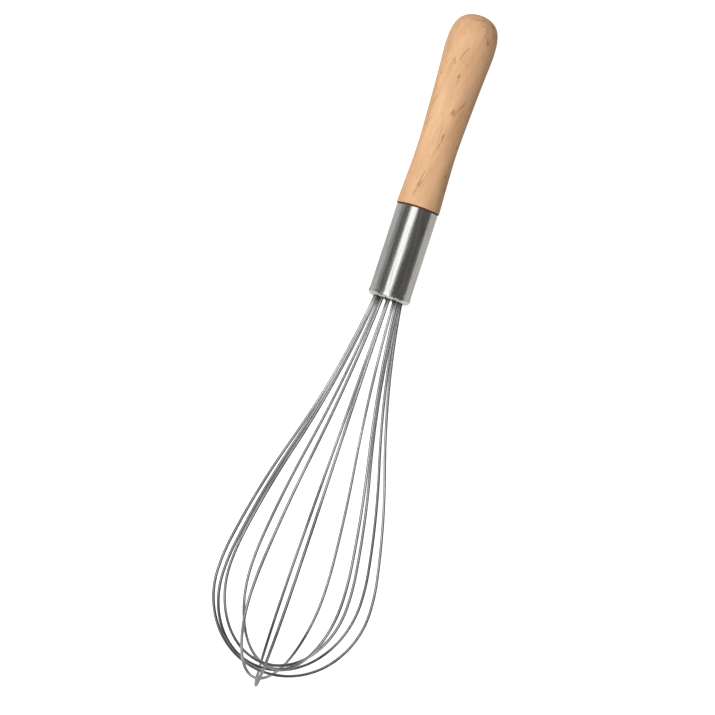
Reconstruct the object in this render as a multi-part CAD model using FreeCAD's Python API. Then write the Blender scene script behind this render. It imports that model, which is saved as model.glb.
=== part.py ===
import FreeCAD, Part
import math
import os

# A balloon whisk lying on a work surface: turned beech handle, steel ferrule
# and six sprung wire loops held in the ferrule by a core and cast resin.
#
# It is built along its own axis first: +Z runs to the wire tip, the origin is
# the centre of the ferrule's mouth, +Y is the side that ends up on top.
# The last step lays it down: +X to the wire tip, +Z up, surface at z = 0.
# All lengths are in millimetres and all angles in degrees.

# ---- wire loops ----
WIRE_D = 1.3
WIRE_R = WIRE_D / 2.0
MOUTH_R = 5.92            # wire centres leave the ferrule on this radius
FLARE_R = 378.0           # long outward curve up to the steepest slope
SHOULDER_R1 = 335.2       # first curve back towards the axis direction
SHOULDER_ANGLE = 10.1     # slope where the tighter shoulder takes over
SHOULDER_R2 = 78.9        # ends parallel to the axis, at the widest point
CHEEK_ANGLE = 42.0        # how far the cheek turns before the top arc
BEND_REACH = 1.8          # tangent length of the small bend at the mouth
SHANK_END_Z = -23.0       # the wires stop here, inside the ferrule

# Each loop is flat and a little different from the next, as hand-set wires
# are: (name, turn of its first leg, half width, length, lean, sway, angle
# to the axis at which it leaves the mouth).
LOOPS = [
    ("wire_loop_1", -177.7, 33.9, 170.6, 0.65, 0.95, 6.76),
    ("wire_loop_2", -25.9, 34.0, 168.2, -1.2, -1.2, 6.76),
    ("wire_loop_3", -76.1, 34.1, 164.3, -0.2, 0.4, 7.22),
    ("wire_loop_4", -60.2, 34.3, 164.2, -1.3, -2.4, 7.42),
    ("wire_loop_5", -141.9, 32.6, 160.7, -2.25, 1.9, 7.02),
    ("wire_loop_6", -125.9, 31.75, 159.7, -0.8, 3.55, 5.97),
]

# ---- ferrule ----
FERRULE_R = 9.0
FERRULE_T = 0.8
FERRULE_TOP_Z = -39.65
BEAD_R = 9.25             # the rim swells a little before it turns in
BEAD_START_Z = -3.6
LIP_BEND_R = 1.6          # outside radius of the turned-in lip
LIP_INNER_R = 0.55        # inside radius of the same bend
LIP_HOLE_R = 6.7          # edge of the lip, just clear of the wires
LIP_DROP = 0.2            # the lip's edge lies this far inside the mouth
BORE_R = FERRULE_R - FERRULE_T

# ---- core and resin between the wires, adhesive round the tenon ----
CORE_R = 4.8
CORE_TOP_Z = -23.6
CORE_FACE_Z = -2.2
RESIN_TOP_Z = -24.0
RESIN_FACE_Z = -2.8
GLUE_T = 0.15
GLUE_TOP_Z = -39.0
GLUE_END_Z = -25.0

# ---- handle: (z, radius) of the turned outline, from the domed end ----
HANDLE_OUTLINE = [
    (-126.4, 0.0),
    (-126.0, 3.3),
    (-125.1, 5.75),
    (-123.4, 7.95),
    (-121.7, 9.1),
    (-119.6, 9.87),
    (-117.0, 10.4),
    (-114.0, 10.64),
    (-110.8, 10.68),
    (-106.5, 10.45),
    (-101.5, 10.12),
    (-92.5, 9.6),
    (-80.0, 9.02),
    (-67.5, 8.58),
    (-57.0, 8.78),
    (-48.0, 9.13),
    (-41.2, 9.38),
]
STEP_Z = -40.2            # the handle's step, just above the ferrule
STEP_ROUND = 0.35
NECK_R = 8.4              # this narrow neck stands on the ferrule's top edge
TENON_R = BORE_R - GLUE_T
TENON_CHAMFER = 0.6


def rad(angle):
    return math.radians(angle)


def point(radius, z):
    """A point of a turned outline, in the XZ plane."""
    return FreeCAD.Vector(radius, 0, z)


def turned(edges):
    """Close an outline of edges and turn it round the Z axis."""
    face = Part.Face(Part.Wire(edges))
    return face.revolve(FreeCAD.Vector(0, 0, 0), FreeCAD.Vector(0, 0, 1), 360)


def tube(outer_r, inner_r, z_low, z_high):
    """A plain ring round the axis, or a plain rod when inner_r is zero."""
    height = z_high - z_low
    base = FreeCAD.Vector(0, 0, z_low)
    body = Part.makeCylinder(outer_r, height, base)
    if inner_r > 0:
        body = body.cut(Part.makeCylinder(inner_r, height, base))
    return body


# ------------------------------------------------------------ wire loops

class LoopPlane:
    """Where a point of a flat loop goes: s across the loop, z along it."""

    def __init__(self, turn, lean, sway):
        self.across = FreeCAD.Vector(math.sin(rad(turn)), math.cos(rad(turn)), 0)
        self.normal = FreeCAD.Vector(math.cos(rad(turn)), -math.sin(rad(turn)), 0)
        self.lean = rad(lean)
        self.sway = rad(sway)

    def place(self, s, z):
        leaned_s = s * math.cos(self.lean) + z * math.sin(self.lean)
        leaned_z = z * math.cos(self.lean) - s * math.sin(self.lean)
        along = FreeCAD.Vector(0, 0, leaned_z * math.cos(self.sway))
        aside = self.normal * (leaned_z * math.sin(self.sway))
        return self.across * leaned_s + aside + along


def half_loop_arcs(half_width, length, mouth_angle):
    """Tangent arcs from the mouth to the pole, each (start, middle, end) as (s, z)."""
    mouth = rad(mouth_angle)
    shoulder = rad(SHOULDER_ANGLE)
    cheek = rad(CHEEK_ANGLE)
    # steepest slope, from the half width the arcs have to add up to
    total = MOUTH_R + FLARE_R * math.cos(mouth)
    total += SHOULDER_R1 * math.cos(shoulder)
    total += SHOULDER_R2 * (1 - math.cos(shoulder))
    steep = math.acos((total - half_width) / (FLARE_R + SHOULDER_R1))

    def flare(t):
        s = MOUTH_R + FLARE_R * (math.cos(mouth) - math.cos(t))
        return (s, FLARE_R * (math.sin(t) - math.sin(mouth)))

    s1, z1 = flare(steep)

    def shoulder_one(t):
        s = s1 + SHOULDER_R1 * (math.cos(t) - math.cos(steep))
        return (s, z1 + SHOULDER_R1 * (math.sin(steep) - math.sin(t)))

    s2, z2 = shoulder_one(shoulder)

    def shoulder_two(t):
        s = s2 + SHOULDER_R2 * (math.cos(t) - math.cos(shoulder))
        return (s, z2 + SHOULDER_R2 * (math.sin(shoulder) - math.sin(t)))

    z3 = shoulder_two(0)[1]
    # two arcs round the end: radii that reach the pole square to the axis
    height = length - z3
    c = math.cos(cheek)
    k = math.sin(cheek)
    det = (1 - c) * (1 - k) - c * k
    cheek_r = (half_width * (1 - k) - c * height) / det
    top_r = ((1 - c) * height - k * half_width) / det

    def cheek_arc(t):
        return (half_width - cheek_r * (1 - math.cos(t)), z3 + cheek_r * math.sin(t))

    s4, z4 = cheek_arc(cheek)

    def top_arc(t):
        s = s4 - top_r * (c - math.cos(t))
        return (s, z4 + top_r * (math.sin(t) - k))

    spans = [
        (flare, mouth, steep),
        (shoulder_one, steep, shoulder),
        (shoulder_two, shoulder, 0.0),
        (cheek_arc, 0.0, cheek),
        (top_arc, cheek, math.pi / 2),
    ]
    return spans


def mouth_bend(exit_point, direction):
    """Small arc that turns a leg parallel to the axis inside the ferrule."""
    axis = FreeCAD.Vector(0, 0, 1)
    corner = exit_point - direction * BEND_REACH
    start = corner - axis * BEND_REACH
    turn = direction.getAngle(axis)
    bend_r = BEND_REACH / math.tan(turn / 2)
    inward = direction - axis
    inward.normalize()
    # middle of the arc: from the corner towards the arc's centre
    middle = corner + inward * (bend_r / math.cos(turn / 2) - bend_r)
    return start, middle


def loop_path(turn, half_width, length, lean, sway, mouth_angle):
    """The loop's centre line as edges, from one shank end to the other."""
    plane = LoopPlane(turn, lean, sway)
    spans = half_loop_arcs(half_width, length, mouth_angle)
    mouth = rad(mouth_angle)
    edges = []
    ends = []
    for side in (1, -1):
        leg = []
        for curve, t0, t1 in spans:
            a = curve(t0)
            m = curve((t0 + t1) / 2)
            b = curve(t1)
            pa = plane.place(side * a[0], a[1])
            pm = plane.place(side * m[0], m[1])
            pb = plane.place(side * b[0], b[1])
            leg.append(Part.Arc(pa, pm, pb).toShape())
        exit_point = plane.place(side * MOUTH_R, 0)
        heading = plane.place(side * math.sin(mouth), math.cos(mouth))
        heading.normalize()
        start, middle = mouth_bend(exit_point, heading)
        shank_end = FreeCAD.Vector(start.x, start.y, SHANK_END_Z)
        bend = Part.Arc(start, middle, exit_point).toShape()
        shank = Part.LineSegment(shank_end, start).toShape()
        leg = [shank, bend] + leg
        ends.append(shank_end)
        if side == 1:
            edges.extend(leg)
        else:
            edges.extend(reversed(leg))
    return edges, ends


def wire_loop(path, ends):
    """Round wire swept along the loop's centre line."""
    spine = Part.Wire(Part.__sortEdges__(path))
    section = Part.Wire(Part.makeCircle(WIRE_R, ends[0], FreeCAD.Vector(0, 0, 1)))
    return spine.makePipeShell([section], True, False)


# ---------------------------------------------------------- turned pieces

def make_handle():
    outline = [point(radius, z) for z, radius in HANDLE_OUTLINE]
    curve = Part.BSplineCurve()
    curve.interpolate(Points=outline, InitialTangent=FreeCAD.Vector(1, 0, 0),
                      FinalTangent=FreeCAD.Vector(0.02, 0, 1))
    last_z, last_r = HANDLE_OUTLINE[-1]
    round_start = point(last_r, STEP_Z - STEP_ROUND)
    round_end = point(last_r - STEP_ROUND, STEP_Z)
    k = STEP_ROUND * (1 - math.sqrt(0.5))
    round_mid = point(last_r - k, STEP_Z - k)
    neck_top = point(NECK_R, STEP_Z)
    neck_low = point(NECK_R, FERRULE_TOP_Z)
    step = point(TENON_R, FERRULE_TOP_Z)
    tenon_low = point(TENON_R, RESIN_TOP_Z - TENON_CHAMFER)
    tenon_tip = point(TENON_R - TENON_CHAMFER, RESIN_TOP_Z)
    centre = point(0, RESIN_TOP_Z)
    edges = [curve.toShape()]
    edges.append(Part.LineSegment(outline[-1], round_start).toShape())
    edges.append(Part.Arc(round_start, round_mid, round_end).toShape())
    corners = [round_end, neck_top, neck_low, step, tenon_low, tenon_tip, centre, outline[0]]
    for a, b in zip(corners, corners[1:]):
        edges.append(Part.LineSegment(a, b).toShape())
    return turned(edges), curve.toShape()


def make_ferrule():
    """Thin tube whose mouth swells into a rim and turns in nearly to the wires."""
    bend_z = -LIP_BEND_R
    centre_r = BEAD_R - LIP_BEND_R
    h = math.sqrt(0.5)
    top_out = point(FERRULE_R, FERRULE_TOP_Z)
    bead_start = point(FERRULE_R, BEAD_START_Z)
    low_out = point(BEAD_R, bend_z)
    mid_out = point(centre_r + LIP_BEND_R * h, bend_z + LIP_BEND_R * h)
    end_out = point(centre_r, 0)
    hole_out = point(LIP_HOLE_R, -LIP_DROP)
    hole_in = point(LIP_HOLE_R, bend_z + LIP_INNER_R)
    end_in = point(centre_r, bend_z + LIP_INNER_R)
    mid_in = point(centre_r + LIP_INNER_R * h, bend_z + LIP_INNER_R * h)
    low_in = point(BORE_R, bend_z)
    top_in = point(BORE_R, FERRULE_TOP_Z)
    up = FreeCAD.Vector(0, 0, 1)
    bead = Part.BSplineCurve()
    bead.interpolate(Points=[bead_start, low_out], InitialTangent=up, FinalTangent=up)
    edges = [Part.LineSegment(top_out, bead_start).toShape()]
    edges.append(bead.toShape())
    edges.append(Part.Arc(low_out, mid_out, end_out).toShape())
    edges.append(Part.LineSegment(end_out, hole_out).toShape())
    edges.append(Part.LineSegment(hole_out, hole_in).toShape())
    edges.append(Part.LineSegment(hole_in, end_in).toShape())
    edges.append(Part.Arc(end_in, mid_in, low_in).toShape())
    edges.append(Part.LineSegment(low_in, top_in).toShape())
    edges.append(Part.LineSegment(top_in, top_out).toShape())
    return turned(edges)


def make_core():
    """Round core that the wire shanks stand against."""
    core = tube(CORE_R, 0, CORE_TOP_Z, CORE_FACE_Z)
    rims = [e for e in core.Edges if e.Curve.TypeId == "Part::GeomCircle"]
    return core.makeChamfer(0.3, rims)


def make_resin(core, loops):
    """Cast resin: fills the ferrule between tenon, core, bore and wires."""
    body = tube(BORE_R, 0, RESIN_TOP_Z, RESIN_FACE_Z)
    body = body.cut(core)
    for loop in loops:
        body = body.cut(loop)
    return max(body.Solids, key=lambda solid: solid.Volume)


# ------------------------------------------------------- laying it down

def lying_matrix(roll, tilt):
    """Whisk axis to +X, its +Y side up, rolled, then the wire end raised."""
    swap = FreeCAD.Matrix(0, 0, 1, 0, 1, 0, 0, 0, 0, 1, 0, 0, 0, 0, 0, 1)
    turn = FreeCAD.Matrix()
    turn.rotateX(roll)
    rise = FreeCAD.Matrix()
    rise.rotateY(-tilt)
    return rise.multiply(turn.multiply(swap))


def rest_angles(handle_edge, leg_one, leg_two):
    """Roll and tilt at which the handle and two wire legs meet one surface."""
    outline = handle_edge.discretize(300)

    def heights(roll, tilt):
        matrix = lying_matrix(roll, tilt)
        low = min(p.z * math.sin(tilt) - p.x * math.cos(tilt) for p in outline)
        ones = min(matrix.multVec(p).z for p in leg_one) - WIRE_R
        twos = min(matrix.multVec(p).z for p in leg_two) - WIRE_R
        return ones - low, twos - low

    roll = rad(-11.8)
    tilt = rad(5.3)
    small = rad(0.05)
    for _ in range(12):
        f1, f2 = heights(roll, tilt)
        a1, a2 = heights(roll + small, tilt)
        b1, b2 = heights(roll, tilt + small)
        a1 = (a1 - f1) / small
        a2 = (a2 - f2) / small
        b1 = (b1 - f1) / small
        b2 = (b2 - f2) / small
        det = a1 * b2 - b1 * a2
        roll -= (f1 * b2 - b1 * f2) / det
        tilt -= (a1 * f2 - f1 * a2) / det
    return roll, tilt


def leg_points(edges):
    """Close points along one leg, for finding where it touches the surface."""
    points = []
    for edge in edges:
        points.extend(edge.discretize(120))
    return points


def main():
    nodes = {}
    handle, handle_edge = make_handle()
    nodes["wood_handle"] = handle
    nodes["ferrule"] = make_ferrule()
    paths = {}
    for name, *shape in LOOPS:
        paths[name], ends = loop_path(*shape)
        nodes[name] = wire_loop(paths[name], ends)
    loops = [nodes[loop[0]] for loop in LOOPS]
    nodes["core_plug"] = make_core()
    nodes["resin_fill"] = make_resin(nodes["core_plug"], loops)
    nodes["tenon_glue"] = tube(BORE_R, TENON_R, GLUE_TOP_Z, GLUE_END_Z)

    # it lies on the first leg of loop 1 and the second leg of loop 2
    half = len(paths["wire_loop_1"]) // 2
    leg_one = leg_points(paths["wire_loop_1"][:half])
    leg_two = leg_points(paths["wire_loop_2"][half:])
    roll, tilt = rest_angles(handle_edge, leg_one, leg_two)
    matrix = lying_matrix(roll, tilt)
    for name in nodes:
        nodes[name] = moved(nodes[name], matrix)

    box = FreeCAD.BoundBox()
    for shape in nodes.values():
        box.add(shape.optimalBoundingBox(True, False))
    shift = FreeCAD.Vector(-box.Center.x, -box.Center.y, -box.ZMin)
    os.makedirs("parts", exist_ok=True)
    for name, shape in nodes.items():
        shape.translate(shift)
        shape.exportStep("parts/" + name + ".step")
        print(name, "valid", shape.isValid(), "volume", round(shape.Volume, 1))
    print("roll", math.degrees(roll), "tilt", math.degrees(tilt), "mouth at", shift)


def moved(shape, matrix):
    result = shape.copy()
    result.transformShape(matrix, True)
    return result


main()
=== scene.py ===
import math

import bpy
import numpy as np
from mathutils import Matrix, Quaternion, Vector


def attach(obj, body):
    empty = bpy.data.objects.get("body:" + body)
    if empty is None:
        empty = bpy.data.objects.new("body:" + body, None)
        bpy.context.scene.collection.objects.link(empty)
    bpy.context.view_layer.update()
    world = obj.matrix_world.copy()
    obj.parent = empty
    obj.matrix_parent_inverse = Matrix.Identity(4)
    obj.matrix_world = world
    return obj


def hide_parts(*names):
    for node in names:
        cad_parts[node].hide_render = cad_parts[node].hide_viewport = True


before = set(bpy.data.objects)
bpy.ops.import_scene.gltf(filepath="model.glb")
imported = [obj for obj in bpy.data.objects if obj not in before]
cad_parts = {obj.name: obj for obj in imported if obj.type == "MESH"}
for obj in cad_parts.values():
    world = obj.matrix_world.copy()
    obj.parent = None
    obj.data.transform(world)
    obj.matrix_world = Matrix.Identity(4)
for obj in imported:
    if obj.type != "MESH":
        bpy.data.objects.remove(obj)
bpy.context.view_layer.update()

# Looks for the balloon whisk. Each piece is built in the whisk's own frame, in
# millimetres: origin at the centre of the ferrule's mouth, +Z to the wire tip,
# +Y towards the upper side. WHISK_TO_ROW then lays it down as the CAD does.
# The stage and the lights are placed in metres.

MM = 0.001
ROOT = "root"

# ---- how the whisk lies, as in the CAD ----
ROLL = math.radians(-3.7948926)
TILT = math.radians(5.9135518)
MOUTH_AT = Vector((-22.39864, -0.70066, 22.41051)) * MM

# the whisk's x, y and z become y, z and x
SWAP = Matrix(((0, 0, 1, 0), (1, 0, 0, 0), (0, 1, 0, 0), (0, 0, 0, 1)))
LAID = Matrix.Rotation(-TILT, 4, "Y") @ Matrix.Rotation(ROLL, 4, "X") @ SWAP
WHISK_TO_ROW = Matrix.Translation(MOUTH_AT) @ LAID

# ---- wire loops, as in the CAD (mm, degrees) ----
WIRE_R = 0.65
MOUTH_R = 5.92
FLARE_R = 378.0
SHOULDER_R1 = 335.2
SHOULDER_ANGLE = math.radians(10.1)
SHOULDER_R2 = 78.9
CHEEK_ANGLE = math.radians(42.0)
BEND_REACH = 1.8
SHANK_END_Z = -23.0
# (name, turn of its first leg, half width, length, lean, sway, angle at the mouth)
LOOPS = [
    ("wire_loop_1", -177.7, 33.9, 170.6, 0.65, 0.95, 6.76),
    ("wire_loop_2", -25.9, 34.0, 168.2, -1.2, -1.2, 6.76),
    ("wire_loop_3", -76.1, 34.1, 164.3, -0.2, 0.4, 7.22),
    ("wire_loop_4", -60.2, 34.3, 164.2, -1.3, -2.4, 7.42),
    ("wire_loop_5", -141.9, 32.6, 160.7, -2.25, 1.9, 7.02),
    ("wire_loop_6", -125.9, 31.75, 159.7, -0.8, 3.55, 5.97),
]
WIRE_SIDES = 16
WIRE_STEP = 1.1           # from one ring of the tube to the next
SHANK_STEPS = 12
BEND_STEPS = 4
ARC_STEPS_AT_LEAST = 6
WIRE_UV_LENGTH = 10.0     # this much wire for one unit of V

# ---- ferrule, as in the CAD ----
FERRULE_R = 9.0
FERRULE_T = 0.8
FERRULE_TOP_Z = -39.65
BEAD_R = 9.25
BEAD_START_Z = -3.6
LIP_BEND_R = 1.6
LIP_INNER_R = 0.55
LIP_HOLE_R = 6.7
LIP_DROP = 0.2

# ---- ferrule, seen closer than in the CAD ----
LIP_FACE = (7.3, -0.07)   # (radius, z) on the lip between its bend and its edge
LIP_PRESS_R = 9.1         # inside this radius the lip is pressed to the wires
LIP_TUCK = 0.8            # how far it goes in between them
LIP_LIFT = 0.35           # how far it stands up over each wire
WIRE_ARC_R = 6.3          # distances from a wire are taken round the lip at this radius
PRESS_START = 0.85        # this far from a wire the lip starts to go in
PRESS_BLEND = 0.7         # and over this distance it goes in fully
RIM_ROUND = 0.15
BORE_START_Z = -3.0
BORE_MIDDLE_Z = -20.0
FERRULE_SIDES = 288
TUBE_STEPS = 24
SWELL_STEPS = 12
RIM_HIGHLIGHT_Z = -1.1       # the turned-in edge has a painted highlight from here

# ---- handle: (z, radius), as in the CAD ----
HANDLE_OUTLINE = [
    (-126.4, 0.0), (-126.0, 3.3), (-125.1, 5.75), (-123.4, 7.95),
    (-121.7, 9.1), (-119.6, 9.87), (-117.0, 10.4), (-114.0, 10.64),
    (-110.8, 10.68), (-106.5, 10.45), (-101.5, 10.12), (-92.5, 9.6),
    (-80.0, 9.02), (-67.5, 8.58), (-57.0, 8.78), (-48.0, 9.13), (-41.2, 9.38),
]
STEP_Z = -40.2
STEP_ROUND = 0.35
NECK_R = 8.4
TENON_R = 8.05
TENON_MIDDLE_Z = -30.0
TENON_END_Z = -24.0
TENON_CHAMFER = 0.6
TENON_FACE_R = 4.0        # one more ring on the tenon's end face
HANDLE_SIDES = 144
HANDLE_SPAN_STEPS = 8
HANDLE_END_DIR = (0.02, 1)  # (radius, z) direction in which the outline meets the step
GROOVE_SHADE_Z = -40.3     # painted shade darkens the wood from here to the ferrule
GRAIN_SLANT = -0.2        # the grain runs out of the handle's axis by this angle

# ---- how the wires' colour changes along the whisk, as painted shade (mm from the mouth) ----
WIRE_RAMP_LENGTH = 100.0  # one unit of the colour ramps
MOUTH_SHADE_END_Z = 4.5
BELLY_SHADE_START_Z = 50.0
BELLY_SHADE_END_Z = 100.0


# ------------------------------------------------------------ mesh helpers

def new_piece(name, node, material, verts, faces, uvs=None):
    """A smooth mesh built in whisk millimetres, laid down and riding on the body."""
    mesh = bpy.data.meshes.new(name)
    mesh.from_pydata([WHISK_TO_ROW @ (Vector(v) * MM) for v in verts], [], faces)
    if uvs is not None:
        layer = mesh.uv_layers.new(name="UVMap")
        for loop in mesh.loops:
            layer.data[loop.index].uv = uvs[loop.index]
    mesh.polygons.foreach_set("use_smooth", [True] * len(mesh.polygons))
    mesh.update()
    piece = bpy.data.objects.new(name, mesh)
    bpy.context.scene.collection.objects.link(piece)
    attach(piece, ROOT)
    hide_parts(node)
    mesh.materials.append(material)


def smooth_step(t):
    return t * t * (3 - 2 * t)


def clamped(value):
    return max(0.0, min(1.0, value))


def turned_mesh(outline, sides, shape=None):
    """Turn an outline of (radius, z) round the axis.

    An outline that starts on the axis ends there too, and any other one is
    closed on itself. shape(radius, z, angle) may vary the turned surface.
    """
    verts = []
    rings = []
    for radius, z in outline:
        if radius < 1e-6:
            rings.append([len(verts)])
            verts.append((0, 0, z))
            continue
        ring = []
        for i in range(sides):
            angle = 2 * math.pi * i / sides
            r_here, z_here = shape(radius, z, angle) if shape else (radius, z)
            ring.append(len(verts))
            verts.append((r_here * math.cos(angle), r_here * math.sin(angle), z_here))
        rings.append(ring)
    faces = []
    count = len(rings)
    closed = len(rings[0]) > 1
    for k in range(count if closed else count - 1):
        lower = rings[k]
        upper = rings[(k + 1) % count]
        for i in range(sides):
            j = (i + 1) % sides
            if len(lower) == 1:
                faces.append((lower[0], upper[j], upper[i]))
            elif len(upper) == 1:
                faces.append((lower[i], lower[j], upper[0]))
            else:
                faces.append((lower[i], lower[j], upper[j], upper[i]))
    return verts, faces


def arc_points(centre, radius, start, end, count):
    """Points of (radius, z) on an arc in the outline plane, angles in degrees."""
    points = []
    for i in range(count + 1):
        angle = math.radians(start + (end - start) * i / count)
        points.append((centre[0] + radius * math.cos(angle), centre[1] + radius * math.sin(angle)))
    return points


# ------------------------------------------------------------ wire loops

def half_loop(half_width, length, mouth):
    """Tangent arcs from the mouth to the pole.

    Each is (curve, first slope, last slope, radius), and curve(slope) gives the
    distance from the axis and z.
    """
    total = MOUTH_R + FLARE_R * math.cos(mouth)
    total += SHOULDER_R1 * math.cos(SHOULDER_ANGLE)
    total += SHOULDER_R2 * (1 - math.cos(SHOULDER_ANGLE))
    steep = math.acos((total - half_width) / (FLARE_R + SHOULDER_R1))

    def flare(slope):
        out = MOUTH_R + FLARE_R * (math.cos(mouth) - math.cos(slope))
        return out, FLARE_R * (math.sin(slope) - math.sin(mouth))

    flare_out, flare_z = flare(steep)

    def shoulder_one(slope):
        out = flare_out + SHOULDER_R1 * (math.cos(slope) - math.cos(steep))
        return out, flare_z + SHOULDER_R1 * (math.sin(steep) - math.sin(slope))

    shoulder_out, shoulder_z = shoulder_one(SHOULDER_ANGLE)

    def shoulder_two(slope):
        out = shoulder_out + SHOULDER_R2 * (math.cos(slope) - math.cos(SHOULDER_ANGLE))
        return out, shoulder_z + SHOULDER_R2 * (math.sin(SHOULDER_ANGLE) - math.sin(slope))

    widest_z = shoulder_two(0)[1]
    height = length - widest_z
    cheek_cos = math.cos(CHEEK_ANGLE)
    cheek_sin = math.sin(CHEEK_ANGLE)
    # the two radii for which the cheek and the top reach the pole together
    divisor = (1 - cheek_cos) * (1 - cheek_sin) - cheek_cos * cheek_sin
    cheek_r = (half_width * (1 - cheek_sin) - cheek_cos * height) / divisor
    top_r = ((1 - cheek_cos) * height - cheek_sin * half_width) / divisor

    def cheek(slope):
        return half_width - cheek_r * (1 - math.cos(slope)), widest_z + cheek_r * math.sin(slope)

    cheek_out, cheek_z = cheek(CHEEK_ANGLE)

    def top(slope):
        out = cheek_out - top_r * (cheek_cos - math.cos(slope))
        return out, cheek_z + top_r * (math.sin(slope) - cheek_sin)

    return [
        (flare, mouth, steep, FLARE_R),
        (shoulder_one, steep, SHOULDER_ANGLE, SHOULDER_R1),
        (shoulder_two, SHOULDER_ANGLE, 0.0, SHOULDER_R2),
        (cheek, 0.0, CHEEK_ANGLE, cheek_r),
        (top, CHEEK_ANGLE, math.pi / 2, top_r),
    ]


def leg_points(loop, side):
    """Centre line of one leg, from inside the ferrule to the pole."""
    _, turn, half_width, length, lean, sway, mouth = loop
    turn, lean, sway, mouth = (math.radians(angle) for angle in (turn, lean, sway, mouth))
    across = Vector((math.sin(turn), math.cos(turn), 0))
    normal = Vector((math.cos(turn), -math.sin(turn), 0))

    def place(out, z):
        leaned_out = out * math.cos(lean) + z * math.sin(lean)
        leaned_z = z * math.cos(lean) - out * math.sin(lean)
        along = Vector((0, 0, leaned_z * math.cos(sway)))
        return across * leaned_out + normal * (leaned_z * math.sin(sway)) + along

    axis = Vector((0, 0, 1))
    leave = place(side * MOUTH_R, 0)
    heading = place(side * math.sin(mouth), math.cos(mouth)).normalized()
    corner = leave - heading * BEND_REACH
    start = corner - axis * BEND_REACH
    bend = heading.angle(axis)
    bend_r = BEND_REACH / math.tan(bend / 2)
    centre = corner + (heading - axis).normalized() * (bend_r / math.cos(bend / 2))
    pivot = axis.cross(heading).normalized()
    points = []
    for i in range(SHANK_STEPS):
        z = SHANK_END_Z + (start.z - SHANK_END_Z) * i / SHANK_STEPS
        points.append(Vector((start.x, start.y, z)))
    for i in range(BEND_STEPS):
        turned_by = Quaternion(pivot, bend * i / BEND_STEPS)
        points.append(centre + turned_by @ (start - centre))
    for curve, first, last, radius in half_loop(half_width, length, mouth):
        steps = max(ARC_STEPS_AT_LEAST, int(abs(last - first) * radius / WIRE_STEP))
        for i in range(steps):
            out, z = curve(first + (last - first) * i / steps)
            points.append(place(side * out, z))
    points.append(place(0, length))
    return points


def tube_mesh(points, radius, sides):
    """Round tube along a line of points, with flat ends. Its V runs along the wire."""
    count = len(points)
    tangents = []
    for i in range(count):
        before = points[max(i - 1, 0)]
        after = points[min(i + 1, count - 1)]
        tangents.append((after - before).normalized())
    side_dir = tangents[0].orthogonal().normalized()
    verts = []
    lengths = [0.0]
    for i in range(count):
        if i:
            turn = tangents[i - 1].rotation_difference(tangents[i])
            side_dir = (turn @ side_dir).normalized()
            lengths.append(lengths[-1] + (points[i] - points[i - 1]).length)
        other = tangents[i].cross(side_dir)
        for k in range(sides):
            angle = 2 * math.pi * k / sides
            verts.append(points[i] + (side_dir * math.cos(angle) + other * math.sin(angle)) * radius)
    faces = []
    uvs = []
    for i in range(count - 1):
        for k in range(sides):
            j = (k + 1) % sides
            faces.append((i * sides + k, i * sides + j, (i + 1) * sides + j, (i + 1) * sides + k))
            u0 = k / sides
            u1 = (k + 1) / sides
            v0 = lengths[i] / WIRE_UV_LENGTH
            v1 = lengths[i + 1] / WIRE_UV_LENGTH
            uvs += [(u0, v0), (u1, v0), (u1, v1), (u0, v1)]
    last = (count - 1) * sides
    faces.append(tuple(reversed(range(sides))))
    uvs += [(0, 0)] * sides
    faces.append(tuple(last + k for k in range(sides)))
    uvs += [(0, 0)] * sides
    return verts, faces, uvs


def build_wires(material):
    """Build the loops and return the angles round the axis at which their legs leave the mouth."""
    exits = []
    for loop in LOOPS:
        name = loop[0]
        first = leg_points(loop, 1)
        second = leg_points(loop, -1)
        line = first + list(reversed(second[:-1]))
        verts, faces, uvs = tube_mesh(line, WIRE_R, WIRE_SIDES)
        new_piece(name + "_visual", name, material, verts, faces, uvs)
        for leg in (first, second):
            at_mouth = min(leg, key=lambda point: abs(point.z))
            exits.append(math.atan2(at_mouth.y, at_mouth.x))
    return exits


# ------------------------------------------------------------ ferrule

def build_ferrule(exits, material):
    low = FERRULE_TOP_Z
    bend_z = -LIP_BEND_R
    centre_r = BEAD_R - LIP_BEND_R
    bore = FERRULE_R - FERRULE_T
    outline = arc_points((FERRULE_R - RIM_ROUND, low + RIM_ROUND), RIM_ROUND, -90, 0, 4)
    for i in range(1, TUBE_STEPS):
        rise = (BEAD_START_Z - low - RIM_ROUND) * i / TUBE_STEPS
        outline.append((FERRULE_R, low + RIM_ROUND + rise))
    for i in range(SWELL_STEPS):
        t = i / SWELL_STEPS
        swell = (BEAD_R - FERRULE_R) * smooth_step(t)
        outline.append((FERRULE_R + swell, BEAD_START_Z + (bend_z - BEAD_START_Z) * t))
    outline += arc_points((centre_r, bend_z), LIP_BEND_R, 0, 90, 14)
    edge_r = (LIP_BEND_R - LIP_INNER_R - LIP_DROP) / 2
    outline.append(LIP_FACE)
    outline += arc_points((LIP_HOLE_R + edge_r, -LIP_DROP - edge_r), edge_r, 90, 270, 12)
    outline += arc_points((centre_r, bend_z), LIP_INNER_R, 90, 0, 6)
    outline += [(bore, BORE_START_Z), (bore, BORE_MIDDLE_Z), (bore, low + RIM_ROUND)]

    def pressed(radius, z, angle):
        """Between two wires the lip's edge is tucked in, and over a wire it stands up."""
        if z < bend_z or radius > LIP_PRESS_R:
            return radius, z
        nearest = min(abs((angle - leaves + math.pi) % (2 * math.pi) - math.pi) for leaves in exits)
        free = smooth_step(clamped((nearest * WIRE_ARC_R - PRESS_START) / PRESS_BLEND))
        share = clamped((LIP_PRESS_R - radius) / (LIP_PRESS_R - LIP_HOLE_R))
        lift = LIP_LIFT * (1 - free) * math.sqrt(share)
        return radius - LIP_TUCK * free * share, z + lift

    verts, faces = turned_mesh(outline, FERRULE_SIDES, pressed)
    new_piece("ferrule_visual", "ferrule", material, verts, faces)


# ------------------------------------------------------------ handle

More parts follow.
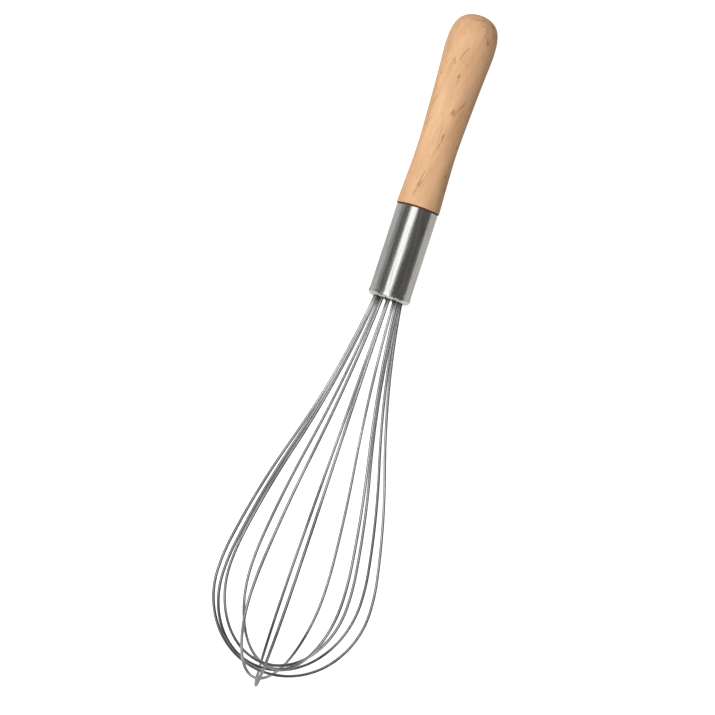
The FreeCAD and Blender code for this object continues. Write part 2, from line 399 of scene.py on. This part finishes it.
def clamped_spline(points, start_dir, end_dir, per_span):
    """Smooth curve through the points, with these directions at its ends (a cubic spline)."""
    knots = np.array(points, float)
    spans = np.linalg.norm(np.diff(knots, axis=0), axis=1)
    count = len(knots)
    system = np.zeros((count, count))
    wanted = np.zeros((count, 2))
    system[0, 0] = 1
    system[-1, -1] = 1
    wanted[0] = np.array(start_dir) / np.linalg.norm(start_dir)
    wanted[-1] = np.array(end_dir) / np.linalg.norm(end_dir)
    for i in range(1, count - 1):
        before = spans[i - 1]
        after = spans[i]
        system[i, i - 1] = after
        system[i, i] = 2 * (before + after)
        system[i, i + 1] = before
        step_in = knots[i] - knots[i - 1]
        step_out = knots[i + 1] - knots[i]
        wanted[i] = 3 * (after * step_in / before + before * step_out / after)
    slopes = np.linalg.solve(system, wanted)
    curve = []
    for i in range(count - 1):
        for k in range(per_span):
            t = k / per_span
            at = (2 * t**3 - 3 * t**2 + 1) * knots[i] + (t**3 - 2 * t**2 + t) * spans[i] * slopes[i]
            at = at + (3 * t**2 - 2 * t**3) * knots[i + 1] + (t**3 - t**2) * spans[i] * slopes[i + 1]
            curve.append((float(at[0]), float(at[1])))
    curve.append((float(knots[-1][0]), float(knots[-1][1])))
    return curve


def build_handle(material):
    knots = [(radius, z) for z, radius in HANDLE_OUTLINE]
    outline = clamped_spline(knots, (1, 0), HANDLE_END_DIR, HANDLE_SPAN_STEPS)
    last_r = knots[-1][0]
    outline += arc_points((last_r - STEP_ROUND, STEP_Z - STEP_ROUND), STEP_ROUND, 0, 90, 6)
    outline += [
        (NECK_R, STEP_Z),
        (NECK_R, FERRULE_TOP_Z),
        (TENON_R, FERRULE_TOP_Z),
        (TENON_R, TENON_MIDDLE_Z),
        (TENON_R, TENON_END_Z - TENON_CHAMFER),
        (TENON_R - TENON_CHAMFER, TENON_END_Z),
        (TENON_FACE_R, TENON_END_Z),
        (0.0, TENON_END_Z),
    ]
    verts, faces = turned_mesh(outline, HANDLE_SIDES)
    new_piece("handle_visual", "wood_handle", material, verts, faces)


# ------------------------------------------------------------ materials

class Nodes:
    """Short way to build a node material."""

    def __init__(self, name):
        self.material = bpy.data.materials.new(name)
        self.material.use_nodes = True
        self.tree = self.material.node_tree
        self.shader = self.tree.nodes["Principled BSDF"]

    def add(self, kind, **settings):
        node = self.tree.nodes.new(kind)
        for key, value in settings.items():
            setattr(node, key, value)
        return node

    def link(self, source, target):
        self.tree.links.new(source, target)

    def coords(self, scale, kind="Object", offset=(0, 0, 0), turn=(0, 0, 0), slant=0.0):
        """Texture coordinates in the whisk's own frame, or round and along a wire for UV.

        In the whisk's frame, scale is the number of texture units in a metre,
        across, across and along. slant tips the frame sideways, for grain that
        runs out of the handle's axis.
        """
        place = self.add("ShaderNodeTexCoord").outputs[kind]
        if kind == "Object":
            upright = self.add("ShaderNodeMapping", vector_type="TEXTURE")
            upright.inputs["Location"].default_value = MOUTH_AT
            tipped = LAID @ Matrix.Rotation(slant, 4, "Y")
            upright.inputs["Rotation"].default_value = tipped.to_euler("XYZ")
            self.link(place, upright.inputs["Vector"])
            place = upright.outputs["Vector"]
        mapping = self.add("ShaderNodeMapping")
        mapping.inputs["Scale"].default_value = scale
        mapping.inputs["Location"].default_value = offset
        mapping.inputs["Rotation"].default_value = turn
        self.link(place, mapping.inputs["Vector"])
        return mapping.outputs["Vector"]

    def axis_distance(self, unit):
        """How far along the axis from the mouth, in units of this many millimetres."""
        per_metre = 1 / (unit * MM)
        split = self.add("ShaderNodeSeparateXYZ")
        self.link(self.coords((per_metre, per_metre, per_metre)), split.inputs[0])
        return split.outputs["Z"]

    def noise(self, vector, detail, roughness):
        node = self.add("ShaderNodeTexNoise")
        node.inputs["Scale"].default_value = 1.0
        node.inputs["Detail"].default_value = detail
        node.inputs["Roughness"].default_value = roughness
        self.link(vector, node.inputs["Vector"])
        return node.outputs[0]

    def ramp(self, value, stops):
        node = self.add("ShaderNodeValToRGB")
        elements = node.color_ramp.elements
        while len(elements) < len(stops):
            elements.new(0.5)
        for element, (place, colour) in zip(elements, stops):
            element.position = place
            if isinstance(colour, (int, float)):
                colour = (colour, colour, colour)
            element.color = (*colour, 1)
        self.link(value, node.inputs["Fac"])
        return node.outputs["Color"]

    def mix(self, factor, a, b):
        """Blend two colours; sockets 6, 7 and 2 are the colour ones of this node."""
        node = self.add("ShaderNodeMix", data_type="RGBA")
        for value, socket in ((factor, node.inputs[0]), (a, node.inputs[6]), (b, node.inputs[7])):
            if isinstance(value, (int, float)):
                socket.default_value = value
            elif isinstance(value, tuple):
                socket.default_value = (*value, 1)
            else:
                self.link(value, socket)
        return node.outputs[2]

    def math(self, operation, a, b=0.0):
        node = self.add("ShaderNodeMath", operation=operation)
        for value, socket in ((a, node.inputs[0]), (b, node.inputs[1])):
            if isinstance(value, (int, float)):
                socket.default_value = value
            else:
                self.link(value, socket)
        return node.outputs[0]

    def bump(self, height, strength, distance):
        node = self.add("ShaderNodeBump")
        node.inputs["Strength"].default_value = strength
        node.inputs["Distance"].default_value = distance
        self.link(height, node.inputs["Height"])
        self.link(node.outputs["Normal"], self.shader.inputs["Normal"])


def growth_rings(look):
    """Rings about a pith line off to one side, a little out of line with the handle."""
    per_mm = (1000, 1000, 1000)
    ring_at = look.coords(per_mm, offset=(14, 9, 0), turn=(0.05, 0.035, 0))
    rings = look.add("ShaderNodeTexWave", wave_type="RINGS", rings_direction="Z", wave_profile="SAW")
    rings.inputs["Scale"].default_value = 0.105
    rings.inputs["Distortion"].default_value = 2.2
    rings.inputs["Detail"].default_value = 2.0
    rings.inputs["Detail Scale"].default_value = 0.35
    look.link(ring_at, rings.inputs["Vector"])
    late_wood = look.ramp(rings.outputs["Fac"], [(0.0, 0.0), (0.80, 0.10), (0.965, 1.0), (1.0, 0.15)])
    patches = look.noise(look.coords((95, 95, 22), offset=(3, 1, 0)), 3.0, 0.5)
    where = look.ramp(patches, [(0.46, 0.08), (0.62, 0.7)])
    return look.math("MULTIPLY", late_wood, where)


def veins(look):
    """Crisp veins: contour lines of a long soft noise, broken up by a second one."""
    contour_level = 0.53
    swirl = look.noise(look.coords((210, 210, 22), offset=(5, 2, 7), slant=GRAIN_SLANT), 1.0, 0.4)
    off_line = look.math("ABSOLUTE", look.math("SUBTRACT", swirl, contour_level))
    thin = look.ramp(off_line, [(0.0, 1.0), (0.007, 0.85), (0.017, 0.0)])
    broken = look.noise(look.coords((210, 210, 95), offset=(1, 8, 4)), 2.0, 0.6)
    return look.math("MULTIPLY", thin, look.ramp(broken, [(0.485, 0.0), (0.565, 1.0)]))


def beech():
    """Pale turned beech: soft colour bands, dark grain lines and veins, fine ray flecks."""
    look = Nodes("beech")
    darker_wood = (0.665, 0.385, 0.200)
    paler_wood = (0.825, 0.505, 0.290)
    ring_brown = (0.42, 0.205, 0.085)
    vein_brown = (0.34, 0.150, 0.050)
    fleck_brown = (0.43, 0.215, 0.10)
    fibre_brown = (0.50, 0.27, 0.13)
    groove_painted_shade = (0.15, 0.066, 0.033)
    soft = look.noise(look.coords((230, 230, 42), slant=GRAIN_SLANT), 3.0, 0.55)
    tone = look.ramp(soft, [(0.30, darker_wood), (0.70, paler_wood)])

    rings = growth_rings(look)
    colour = look.mix(look.math("MULTIPLY", rings, 0.40), tone, ring_brown)
    vein = veins(look)
    colour = look.mix(look.math("MULTIPLY", vein, 0.80), colour, vein_brown)

    # ray flecks, short thin dashes along the grain, and fibres finer still
    dash = look.noise(look.coords((2000, 2000, 300), slant=GRAIN_SLANT), 1.0, 0.5)
    fleck = look.ramp(dash, [(0.64, 0.0), (0.74, 1.0)])
    colour = look.mix(look.math("MULTIPLY", fleck, 0.38), colour, fleck_brown)
    fine = look.noise(look.coords((4200, 4200, 400)), 2.0, 0.6)
    fibre = look.ramp(fine, [(0.35, 0.0), (0.75, 1.0)])
    colour = look.mix(look.math("MULTIPLY", fibre, 0.14), colour, fibre_brown)

    # painted shade: the groove next to the ferrule is darkened
    groove_shade_mask = look.math("GREATER_THAN", look.axis_distance(1), GROOVE_SHADE_Z)
    colour = look.mix(groove_shade_mask, colour, groove_painted_shade)
    look.link(colour, look.shader.inputs["Base Color"])
    look.link(look.ramp(soft, [(0.2, 0.52), (0.8, 0.64)]), look.shader.inputs["Roughness"])
    look.shader.inputs["Specular IOR Level"].default_value = 0.35
    relief = look.math("ADD", look.math("MULTIPLY", fleck, -0.5), look.math("MULTIPLY", vein, -1.0))
    look.bump(relief, 0.35, 0.00014)
    return look.material


def drawn_steel():
    """Ferrule: drawn stainless tube with fine polishing lines along it and a painted highlight on its
    rim.
    """
    look = Nodes("ferrule_steel")
    line_dark = (0.46, 0.46, 0.445)
    line_light = (0.80, 0.80, 0.785)
    rim_painted_highlight = (0.95, 0.95, 0.95)
    lines = look.noise(look.coords((1500, 1500, 45)), 4.0, 0.65)
    hair = look.noise(look.coords((4200, 4200, 160), offset=(4, 0, 2)), 2.0, 0.6)
    cloud = look.noise(look.coords((330, 330, 120)), 2.0, 0.5)
    streak = look.math("ADD", look.math("MULTIPLY", lines, 0.65), look.math("MULTIPLY", hair, 0.35))
    colour = look.mix(look.ramp(streak, [(0.38, 0.0), (0.62, 1.0)]), line_dark, line_light)
    # painted highlight: the turned-in rim is made brighter
    rim_highlight_mask = look.math("GREATER_THAN", look.axis_distance(1), RIM_HIGHLIGHT_Z)
    look.link(look.mix(rim_highlight_mask, colour, rim_painted_highlight), look.shader.inputs["Base Color"])
    look.shader.inputs["Metallic"].default_value = 1.0
    both = look.math("ADD", look.math("MULTIPLY", lines, 0.6), look.math("MULTIPLY", cloud, 0.4))
    look.link(look.ramp(both, [(0.3, 0.19), (0.7, 0.33)]), look.shader.inputs["Roughness"])
    look.bump(streak, 0.35, 0.00003)
    return look.material


def spring_wire():
    """Drawn wire in lighter and duller stretches.

    Painted shade makes it dark at the mouth; it is bright next to it, and painted shade makes it
    duller towards the belly.
    """
    look = Nodes("wire_steel")
    near_dull = (0.57, 0.58, 0.60)
    near_bright = (0.92, 0.94, 0.97)
    belly_shaded_dull = (0.32, 0.325, 0.34)
    belly_shaded_bright = (0.62, 0.63, 0.65)
    mouth_painted_shade = (0.13, 0.13, 0.12)
    lines = look.noise(look.coords((34, 1.6, 1), "UV"), 2.0, 0.5)
    stretch = look.noise(look.coords((60, 60, 16), offset=(2, 5, 3)), 1.0, 0.5)
    patchy = look.ramp(stretch, [(0.42, 0.0), (0.58, 1.0)])
    near = look.mix(patchy, near_dull, near_bright)
    # painted shade: a darker copy of the wire colour, blended in towards the belly
    far = look.mix(patchy, belly_shaded_dull, belly_shaded_bright)
    along = look.axis_distance(WIRE_RAMP_LENGTH)
    belly_shade_start = BELLY_SHADE_START_Z / WIRE_RAMP_LENGTH
    belly_shade_end = BELLY_SHADE_END_Z / WIRE_RAMP_LENGTH
    # painted shade: how far the darker belly colour has come in along the whisk
    belly_shade_mask = look.ramp(along, [(belly_shade_start, 0.0), (belly_shade_end, 1.0)])
    # painted shade: the wires are darkened where they leave the mouth
    at_mouth = look.ramp(along, [(0.0, 1.0), (MOUTH_SHADE_END_Z / WIRE_RAMP_LENGTH, 0.0)])
    with_belly_shade = look.mix(belly_shade_mask, near, far)
    look.link(look.mix(at_mouth, with_belly_shade, mouth_painted_shade), look.shader.inputs["Base Color"])
    look.shader.inputs["Metallic"].default_value = 1.0
    look.link(look.ramp(lines, [(0.3, 0.19), (0.7, 0.29)]), look.shader.inputs["Roughness"])
    look.bump(lines, 0.12, 0.00002)
    return look.material


def filler(name, dark, light, roughness, scale):
    """Plastic, resin or adhesive: mottled colour and a little unevenness."""
    look = Nodes(name)
    roughest = roughness + 0.12
    cloud = look.noise(look.coords((scale, scale, scale)), 3.0, 0.55)
    look.link(look.ramp(cloud, [(0.3, dark), (0.7, light)]), look.shader.inputs["Base Color"])
    look.link(look.ramp(cloud, [(0.3, roughness), (0.7, roughest)]), look.shader.inputs["Roughness"])
    look.bump(cloud, 0.3, 0.00008)
    return look.material


def dress_node(name, material):
    """Give a CAD node that stays its material."""
    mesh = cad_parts[name].data
    mesh.materials.clear()
    mesh.materials.append(material)


# ------------------------------------------------------------ build

wire_exits = build_wires(spring_wire())
build_ferrule(wire_exits, drawn_steel())
build_handle(beech())
dress_node("core_plug", filler(
    "core_plastic", dark=(0.02, 0.02, 0.02), light=(0.05, 0.05, 0.05), roughness=0.5, scale=400))
dress_node("resin_fill", filler(
    "cast_resin", dark=(0.015, 0.014, 0.012), light=(0.04, 0.036, 0.03), roughness=0.3, scale=500))
dress_node("tenon_glue", filler(
    "adhesive", dark=(0.55, 0.48, 0.32), light=(0.7, 0.62, 0.45), roughness=0.35, scale=500))


# ------------------------------------------------------------ stage and light

STAGE_SIZE = 24
BLACK = (0, 0, 0)
WHITE = (1, 1, 1)
WARM_WHITE = (1.0, 0.985, 0.95)
WORLD_COLOUR = (1.0, 0.95, 0.87)


def plain_material(name, colour, emission, glow=WHITE):
    """A matt material without highlights, which glows by itself."""
    material = bpy.data.materials.new(name)
    material.use_nodes = True
    shader = material.node_tree.nodes["Principled BSDF"]
    shader.inputs["Base Color"].default_value = (*colour, 1)
    shader.inputs["Roughness"].default_value = 0.9
    shader.inputs["Specular IOR Level"].default_value = 0.0
    shader.inputs["Emission Color"].default_value = (*glow, 1)
    shader.inputs["Emission Strength"].default_value = emission
    return material


def panel(name, centre, facing, width, depth, material, camera=False, glossy=True, diffuse=False):
    """A flat stage panel that casts no shadow and is seen only by the kinds of ray asked for."""
    mesh = bpy.data.meshes.new(name)
    w = width / 2
    d = depth / 2
    mesh.from_pydata([(-w, -d, 0), (w, -d, 0), (w, d, 0), (-w, d, 0)], [], [(0, 1, 2, 3)])
    card = bpy.data.objects.new(name, mesh)
    bpy.context.scene.collection.objects.link(card)
    card.location = centre
    card.rotation_mode = "QUATERNION"
    card.rotation_quaternion = Vector(facing).to_track_quat("Z", "Y")
    card.visible_camera = camera
    card.visible_glossy = glossy
    card.visible_diffuse = diffuse
    card.visible_shadow = False
    mesh.materials.append(material)


def area_light(name, at, target, width, depth, power, glossy=True):
    """A rectangular lamp at one place, aimed at another."""
    data = bpy.data.lights.new(name, "AREA")
    data.shape = "RECTANGLE"
    data.size = width
    data.size_y = depth
    data.energy = power
    light = bpy.data.objects.new(name, data)
    bpy.context.scene.collection.objects.link(light)
    light.location = at
    light.rotation_mode = "QUATERNION"
    light.rotation_quaternion = (Vector(target) - Vector(at)).to_track_quat("-Z", "Y")
    light.visible_glossy = glossy
    light.visible_camera = False


# only the camera sees the floor; the card below it lights the whisk's underside,
# and all three cards show in the steel
floor_material = plain_material("floor_paper", (0.5, 0.5, 0.5), 0.96)
panel("floor", (0, 0, 0), (0, 0, 1), STAGE_SIZE, STAGE_SIZE, floor_material, camera=True, glossy=False)
grey_card = plain_material("grey_card", BLACK, 0.60, WARM_WHITE)
panel("card_under", (0, 0, -0.002), (0, 0, 1), STAGE_SIZE, STAGE_SIZE, grey_card, diffuse=True)
left_card = plain_material("left_card", BLACK, 0.30)
panel("card_left", (0, -1.6, 0.35), (0, 1, 0), 4, 0.7, left_card)
tip_card = plain_material("tip_card", BLACK, 0.7)
panel("card_tip", (1.1, 0, 0.5), (-1, 0, 0), 1.0, 1.6, tip_card)

world = bpy.data.worlds.new("studio")
world.use_nodes = True
world.node_tree.nodes["Background"].inputs["Color"].default_value = (*WORLD_COLOUR, 1)
world.node_tree.nodes["Background"].inputs["Strength"].default_value = 0.11
bpy.context.scene.world = world

# the softbox stands over the whisk's left side as the camera sees it
area_light("softbox", (-0.05, -0.235, 0.92), (-0.05, 0, 0), width=1.5, depth=0.56, power=4.2)
area_light("fill_left", (-0.1, -1.3, 0.9), (0, 0, 0), width=1.6, depth=1.2, power=6, glossy=False)
area_light("fill_top", (0.05, -0.38, 1.5), (0, 0, 0), width=1.2, depth=1.0, power=15, glossy=False)

bpy.context.scene.view_settings.view_transform = "Standard"

# ------------------------------------------------------------ camera

SENSOR_WIDTH = 36.0       # mm
LENS_LENGTH = 85.342657   # mm
VIEW_DISTANCE = 714.0     # mm along the view, from the mouth's centre
VIEW_TILT = math.radians(-2.01)
VIEW_ROLL = math.radians(18.05)
MOUTH_RIGHT = 12.92       # mm at the whisk, from the picture's centre
MOUTH_DOWN = -24.49

camera_data = bpy.data.cameras.new("camera")
camera_data.sensor_width = SENSOR_WIDTH
camera_data.lens = LENS_LENGTH
camera_data.clip_start = 0.01
camera_data.clip_end = 50
camera = bpy.data.objects.new("camera", camera_data)
bpy.context.scene.collection.objects.link(camera)

# the camera's place and axes in the whisk's frame, tilted and then laid down with it
right = Vector((math.cos(VIEW_ROLL), 0, -math.sin(VIEW_ROLL)))
down = Vector((math.sin(VIEW_ROLL), 0, math.cos(VIEW_ROLL)))
back = Vector((0, 1, 0))
spot = back * VIEW_DISTANCE - right * MOUTH_RIGHT - down * MOUTH_DOWN
untilt = Matrix.Rotation(-VIEW_TILT, 3, "X")
right, down, back, spot = untilt @ right, untilt @ down, untilt @ back, untilt @ spot
lay_down = LAID.to_3x3()
axes = Matrix((lay_down @ right, -(lay_down @ down), lay_down @ back)).transposed()
camera.matrix_world = Matrix.Translation(WHISK_TO_ROW @ (spot * MM)) @ axes.to_4x4()
bpy.context.scene.camera = camera
